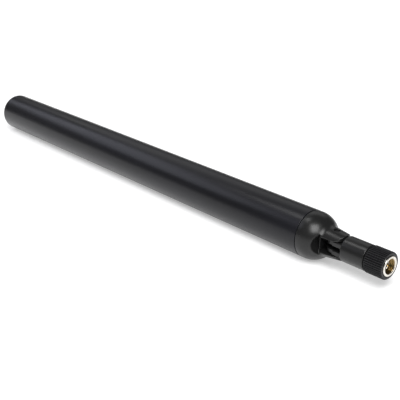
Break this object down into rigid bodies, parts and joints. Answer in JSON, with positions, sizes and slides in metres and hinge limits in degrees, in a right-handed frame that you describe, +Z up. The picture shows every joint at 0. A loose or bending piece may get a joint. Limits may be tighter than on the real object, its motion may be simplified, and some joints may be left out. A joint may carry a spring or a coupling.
{
  "type": "omnidirectional antenna",
  "caption": "Long black rod antenna with a closed round end and a domed hinge that tilts and swivels its knurled screw-on coaxial plug.",
  "frame": {"origin": "on the surface that the antenna lies on, below the middle of its overall length", "axes": "+X along the rod towards the connector, +Z up, and the arm tilts towards -Y"},
  "size_m": [0.273, 0.02, 0.0199],
  "materials": {
    "radome_black": "moulded ABS, fine matt grain",
    "hinge_black": "moulded plastic, satin",
    "cover_black": "moulded plastic, matt, straight knurl",
    "dark_steel": "blackened steel",
    "nickel": "nickel-plated brass, bright",
    "gold": "gold-plated brass",
    "white_ptfe": "turned PTFE",
    "red_silicone": "silicone rubber, smooth",
    "board_green": "glass-epoxy board with solder mask",
    "copper": "etched copper",
    "foam": "open-cell foam",
    "cable_jacket": "extruded black fluoropolymer jacket",
    "tinned_braid": "tinned copper braid",
    "solder": "reflowed solder"
  },
  "bodies": {
    "rod": {"radome_tube": "radome_black", "hinge_base": "hinge_black", "hinge_pin_top": "dark_steel", "hinge_pin_bottom": "dark_steel", "antenna_board": "board_green", "copper_upper_arm": "copper", "copper_lower_arm": "copper", "foam_pad_tip": "foam", "foam_pad_base": "foam", "coax_cable": "cable_jacket", "coax_hinge_section": "cable_jacket", "coax_braid_tail": "tinned_braid", "coax_core_tail": "white_ptfe", "braid_solder_joint": "solder", "core_solder_joint": "solder"},
    "tilt_arm": {"swivel_barrel": "hinge_black", "coax_arm_section": "cable_jacket"},
    "connector": {"connector_body": "gold", "insulator": "white_ptfe", "centre_pin": "gold", "nut_snap_ring": "nickel", "crimp_ferrule": "nickel", "gasket": "red_silicone", "coax_core_plug_end": "white_ptfe"},
    "coupling_nut": {"nut_insert": "nickel", "knurled_cover": "cover_black"}
  },
  "joints": [
    {"name": "arm_tilt", "type": "hinge", "parent": "rod", "child": "tilt_arm", "pos_m": [0.11119, 0, 0.00996], "axis": [0, 0, -1], "range_deg": [0, 90], "deforming": ["coax_hinge_section"]},
    {"name": "connector_swivel", "type": "hinge", "parent": "tilt_arm", "child": "connector", "pos_m": [0.12759, 0, 0.00996], "axis": [1, 0, 0], "range_deg": [-180, 180]},
    {"name": "nut_turn", "type": "hinge", "parent": "connector", "child": "coupling_nut", "pos_m": [0.13219, 0, 0.00996], "axis": [1, 0, 0], "continuous": true}
  ]
}
